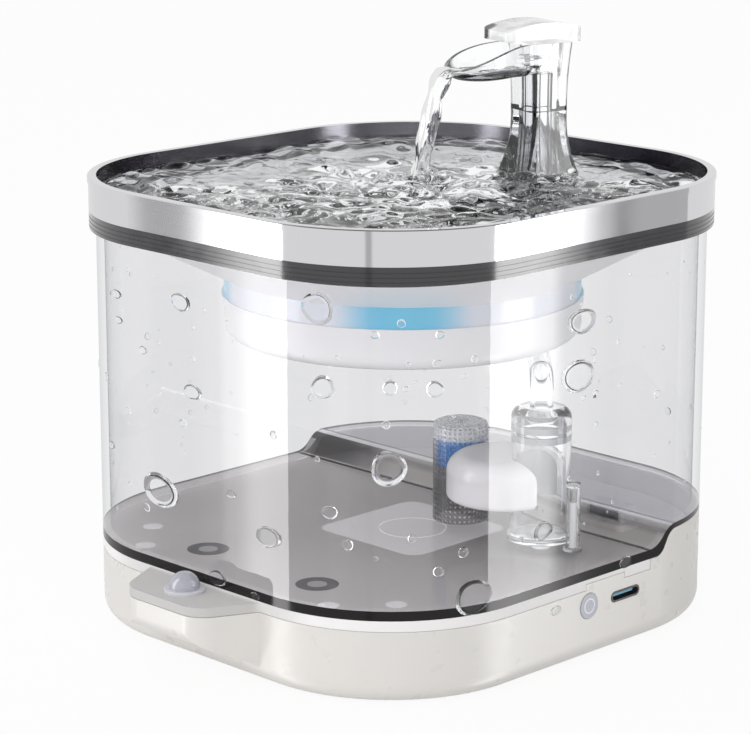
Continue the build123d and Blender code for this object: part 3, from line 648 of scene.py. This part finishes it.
def bead(centre, out, radius, height, wide=1.0, seed=0):
    """A flat drop that clings to a surface: a pancake with a rounded rim, stretched sideways by wide."""
    rng = np.random.default_rng(seed)
    out = Vector(out).normalized()
    side = Vector((0, 0, 1)).cross(out)
    side = side.normalized() if side.length > 0.1 else Vector((1, 0, 0))
    up = out.cross(side)
    angle = turns(28)
    edge = 1 + 0.05 * np.sin(2 * angle + rng.uniform(0, 6)) + 0.03 * np.sin(3 * angle + rng.uniform(0, 6))
    shares = (0.2, 0.5, 0.8, 0.9, 0.95, 0.975, 0.99, 1.0)
    profile = [(share, height * (1 - share**14) ** 0.5) for share in shares] + [(0.6, 0.0)]
    rings = []
    for share, lift in profile:
        aside, above = np.cos(angle) * radius * wide * share * edge, np.sin(angle) * radius * share * edge
        ring = [centre + side * a + up * b + out * lift for a, b in zip(aside, above)]
        rings.append(np.array(ring))
    return skin(rings)


def camera_ray(px, py):
    """Direction through a place in the photograph's frame."""
    back = CAMERA_BACK.normalized()
    right = Vector((0, 0, 1)).cross(back).normalized()
    up = back.cross(right)
    ahead = right * ((px - PHOTO_WIDTH / 2) / FOCAL_PIXELS) - up * ((py - PHOTO_HEIGHT / 2) / FOCAL_PIXELS)
    return (ahead - back).normalized()


def on_wall(px, py):
    """Where the line of sight first meets the tank wall, and the wall's direction there."""
    ahead = camera_ray(px, py)
    away, step = 0.6, 0.001     # the search starts before the tank, in metres
    for _ in range(800):
        point = CAMERA_AT + ahead * away
        angle = math.atan2(point.y - TANK_Y, point.x)
        if math.hypot(point.x, point.y - TANK_Y) < float(reach(np.array([angle]), 0.0)[0]):
            break
        away += step
    return wall_place(angle, point.z)


def wall_place(angle, z):
    """A place on the wall's outer face at an angle round the tank, and its direction."""
    distance = float(reach(np.array([angle]), 0.0)[0])
    x, y = distance * math.cos(angle), distance * math.sin(angle)
    core_x = max(-(HALF_X - CORNER), min(HALF_X - CORNER, x))
    core_y = max(-(HALF_Y - CORNER), min(HALF_Y - CORNER, y))
    out = Vector((x - core_x, y - core_y, 0)).normalized()
    return Vector((x, y + TANK_Y, z)) + out * 0.05 * MM, out


# Larger drops on the two near faces: place in the photograph's frame and radius, in pixels
NEAR_DROPS = [
    (162, 490, 17), (182, 302, 9), (193, 392, 8), (269, 537, 11), (323, 387, 11), (390, 388, 7),
    (435, 389, 8), (577, 376, 16), (581, 321, 13), (389, 468, 17), (473, 597, 17), (218, 578, 8),
    (330, 512, 7), (348, 545, 5), (543, 531, 9), (318, 308, 15), (438, 571, 5), (463, 552, 5),
    (162, 601, 4), (256, 596, 4), (232, 494, 4), (113, 445, 4), (118, 294, 5), (624, 562, 6),
    (375, 335, 4), (440, 335, 4), (120, 320, 4), (145, 350, 4), (412, 538, 4), (555, 610, 5),
]


SCATTERED_DROPS = 130
SCATTERED_RADII = (0.4, 0.5, 0.6, 0.8, 1.0, 1.5)


def wall_drops():
    """Drops that cling to the tank wall: the ones seen in front, and scattered ones all round.

    A drop on a wall that turns away is made wider, so that it looks as round as its size in the frame.
    """
    drops = []
    for number, (px, py, size) in enumerate(NEAR_DROPS):
        place, out = on_wall(px, py)
        radius = size / PIXELS_PER_METRE
        wide = 1 / max(0.55, abs(out.dot(camera_ray(px, py))))
        drops.append(bead(place, out, radius, min(0.06 * radius, 0.25 * MM), wide, number))
    rng = np.random.default_rng(5)
    for number in range(SCATTERED_DROPS):
        angle, z = rng.uniform(-math.pi, math.pi), rng.uniform(48, 140) * MM
        radius = rng.choice(SCATTERED_RADII) * MM
        place, out = wall_place(angle, z)
        drops.append(bead(place, out, radius, 0.16 * radius, rng.uniform(0.9, 1.3), 100 + number))
    make_piece("wall_drops", drops, clear("drop_water", 1.33), "tank")


def splash():
    """Beads thrown up round the place where the stream lands."""
    rng = np.random.default_rng(3)
    beads = []
    for number in range(26):
        turn, away = rng.uniform(0, 2 * np.pi), rng.uniform(4.5, 12) * MM
        x, y = LANDING[0] + away * math.cos(turn), LANDING[1] + away * math.sin(turn)
        z = WATER_Z + float(ripples(np.array([x]), np.array([y]))[0])
        radius = rng.uniform(0.5, 1.3) * MM
        beads.append(bead(Vector((x, y + TANK_Y, z)), (0, 0.001, 1), radius, radius, 1.0, number))
    make_piece("splash_beads", beads, clear("bead_water", 1.33), "tray")


# ---- Pump strainer ----
def pierced(profile, columns, hole):
    """A turned sheet with a round hole in each cell between its profile's points."""
    cell = [(0, 0), (0.5, 0), (1, 0), (1, 0.5), (1, 1), (0.5, 1), (0, 1), (0, 0.5)]
    rim = []
    for a, b in cell:
        pull = 1.0 if 0.5 in (a, b) else 0.71
        rim.append((0.5 + hole * (a - 0.5) * pull, 0.5 + hole * (b - 0.5) * pull))
    points, faces = [], []
    for (low_r, low_z), (high_r, high_z) in zip(profile, profile[1:]):
        for column in range(columns):
            start = len(points)
            for a, b in cell + rim:
                radius, z = low_r + (high_r - low_r) * b, low_z + (high_z - low_z) * b
                turn = 2 * math.pi * (column + a) / columns
                points.append((radius * math.cos(turn), radius * math.sin(turn), z))
            for i in range(8):
                j = (i + 1) % 8
                faces.append((start + i, start + j, start + 8 + j, start + 8 + i))
    return points, faces


def strainer():
    """Clear strainer with rows of small holes round its side and over its domed top."""
    low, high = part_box("strainer_cage")
    centre, radius = (low + high) / 2, (high.x - low.x) / 2
    side = [(radius, z) for z in np.linspace(low.z, high.z - 1.8 * MM, 20)]
    dome = [(radius - 0.5 * MM, high.z - 0.6 * MM)]
    dome += [(radius - inward * MM, high.z) for inward in (2.0, 4.2, 6.2, 8.0)]
    points, faces = pierced(side + dome, 34, 0.62)
    work = bmesh.new()
    made = [work.verts.new((x + centre.x, y + centre.y, z)) for x, y, z in points]
    for face in faces:
        work.faces.new([made[i] for i in face])
    bmesh.ops.remove_doubles(work, verts=work.verts, dist=0.01 * MM)
    bmesh.ops.recalc_face_normals(work, faces=work.faces)
    mesh = bpy.data.meshes.new("strainer_mesh")
    work.to_mesh(mesh)
    work.free()
    mesh.materials.append(mesh_clear("strainer_clear"))
    piece = put("strainer_mesh", mesh)
    wall = piece.modifiers.new("wall", "SOLIDIFY")
    wall.thickness = 0.8 * MM
    wall.offset = -1
    stand_in(piece, "strainer", "strainer_cage")


# ---- Stage ----
def make_world():
    """White to the camera. Mirrors and clear pieces see a pale room with a dark ceiling and dark posts."""
    world = bpy.data.worlds.new("studio")
    bpy.context.scene.world = world
    world.cycles.sampling_method = "NONE"
    s = Shader("studio", world, "OutputWorld")
    path = s.add("LightPath")
    glossy, transmitted = path.outputs["Is Glossy Ray"], path.outputs["Is Transmission Ray"]
    toward = s.add("TexCoord").outputs["Generated"]
    turn = s.math("ARCTAN2", s.split(toward)["Y"], s.split(toward)["X"])
    height = s.split(toward)["Z"]

    post = s.strip(turn, math.radians(-62.5), math.radians(-56.5), math.radians(2.0))
    mirrored = s.math("SUBTRACT", 0.80, s.math("MULTIPLY", post, 0.33))
    mirrored = s.math("MULTIPLY", mirrored, s.ramp(height, 0.62, 0.9, 1.0, 0.25))

    posts = s.math("PINGPONG", s.math("ADD", turn, 0.12), math.radians(24))
    posts = s.math("MAXIMUM", s.ramp(posts, 0.03, 0.10, 0.12, 1.0), s.ramp(height, 0.2, 0.35))
    posts = s.math("MULTIPLY", posts, s.ramp(height, 0.45, 0.9, 1.0, 0.5))
    seen_through = s.math("MAXIMUM", posts, s.ramp(height, 0.12, -0.12))

    soft = s.ramp(s.dot(toward, (0.7, 0.7, 0)), 0.1, 0.9, WORLD_LIGHT, 0.45 * WORLD_LIGHT)
    shiny = s.math("MAXIMUM", glossy, transmitted)
    level = s.blend(shiny, soft, s.blend(transmitted, mirrored, seen_through))
    level = s.blend(path.outputs["Is Camera Ray"], level, (1, 1, 1, 1))
    s.finish(s.feed(s.add("Background"), Color=level, Strength=1.0).outputs[0])


def make_floor():
    """A wide white floor that keeps the object's shadow."""
    size = 12.0
    mesh = bpy.data.meshes.new("floor")
    corners = [(-size, -size, 0), (size, -size, 0), (size, size, 0), (-size, size, 0)]
    mesh.from_pydata(corners, [], [(0, 1, 2, 3)])
    floor = put("floor", mesh)
    s = Shader("floor")
    path = s.add("LightPath")
    plain = s.feed(s.add("BsdfDiffuse"), Color=(0.9, 0.9, 0.9, 1))
    glow = s.feed(s.add("Emission"), Color=(1, 1, 1, 1), Strength=1.0)
    share = s.math("MULTIPLY", path.outputs["Is Camera Ray"], 0.92)
    share = s.math("MAXIMUM", share, path.outputs["Is Transmission Ray"])
    mesh.materials.append(s.finish(s.mix(share, plain.outputs[0], glow.outputs[0])))
    floor.visible_glossy = False


def area(name, angle, height, distance, size, power):
    """A soft lamp round the object: angle in degrees from +X, height and distance in metres."""
    data = bpy.data.lights.new(name, "AREA")
    data.shape = "RECTANGLE"
    data.size, data.size_y = size
    data.energy = power
    lamp = put(name, data)
    turn = math.radians(angle)
    lamp.location = (math.cos(turn) * distance, math.sin(turn) * distance, height)
    lamp.rotation_mode = "QUATERNION"
    lamp.rotation_quaternion = (Vector((0, 0, 0.1)) - lamp.location).to_track_quat("-Z", "Y")
    lamp.visible_glossy = False
    lamp.visible_transmission = False


def card(name, angle, stops):
    """A tall light that only mirrors show. Its stops pair a place across it with a brightness there."""
    distance, low, high = 0.45, -0.5, 0.75
    start, end = stops[0][0], stops[-1][0]
    mesh = bpy.data.meshes.new(name)
    mesh.from_pydata([(0, start, low), (0, end, low), (0, end, high), (0, start, high)], [], [(0, 1, 2, 3)])
    plane = put(name, mesh)
    turn = math.radians(angle)
    plane.location = (math.cos(turn) * distance, TANK_Y + math.sin(turn) * distance, 0)
    plane.rotation_euler = (0, 0, turn)
    s = Shader(name)
    level = stops[0][1]
    for (before, dim), (after, bright) in zip(stops, stops[1:]):
        if dim != bright:
            level = s.math("ADD", level, s.ramp(s.across("Y"), before, after, 0.0, bright - dim))
    level = s.math("MULTIPLY", level, s.ramp(s.across("Z"), 0.35, 0.75, 1.0, 0.35))
    glow = s.feed(s.add("Emission"), Color=(1, 1, 1, 1), Strength=level)
    mesh.materials.append(s.finish(glow.outputs[0]))
    s.owner.cycles.emission_sampling = "NONE"
    plane.visible_camera = plane.visible_diffuse = plane.visible_shadow = False
    plane.visible_transmission = False


def make_lights():
    """Soft lamps round the object, and two cards for the tank wall and the tray's band to mirror."""
    area("left_lamp", angle=-118, height=0.62, distance=1.3, size=(1.5, 1.0), power=3.4)
    area("right_lamp", angle=-42, height=0.5, distance=1.3, size=(1.5, 0.9), power=4.0)
    area("back_lamp", angle=125, height=0.9, distance=1.2, size=(1.6, 1.0), power=0.6)
    area("top_lamp", angle=60, height=1.6, distance=0.4, size=(1.4, 1.4), power=0.6)
    card("left_card", -135, [
        (0.016, 0.78), (0.026, 0.45), (0.040, 0.45), (0.053, 1.1), (0.060, 2.8), (0.074, 6.0), (0.212, 6.8),
    ])
    card("right_card", 45, [
        (-0.252, 6.0), (-0.24, 6.5), (-0.060, 6.0), (-0.050, 1.3), (-0.044, 0.95), (-0.036, 0.6),
        (-0.028, 0.32), (-0.020, 0.48), (0.08, 0.5),
    ])


bpy.context.scene.view_settings.view_transform = "Standard"
make_camera()
dress_nodes()
floor_sheet()
tray_water()
stream()
splash()
wall_drops()
strainer()
make_world()
make_floor()
make_lights()
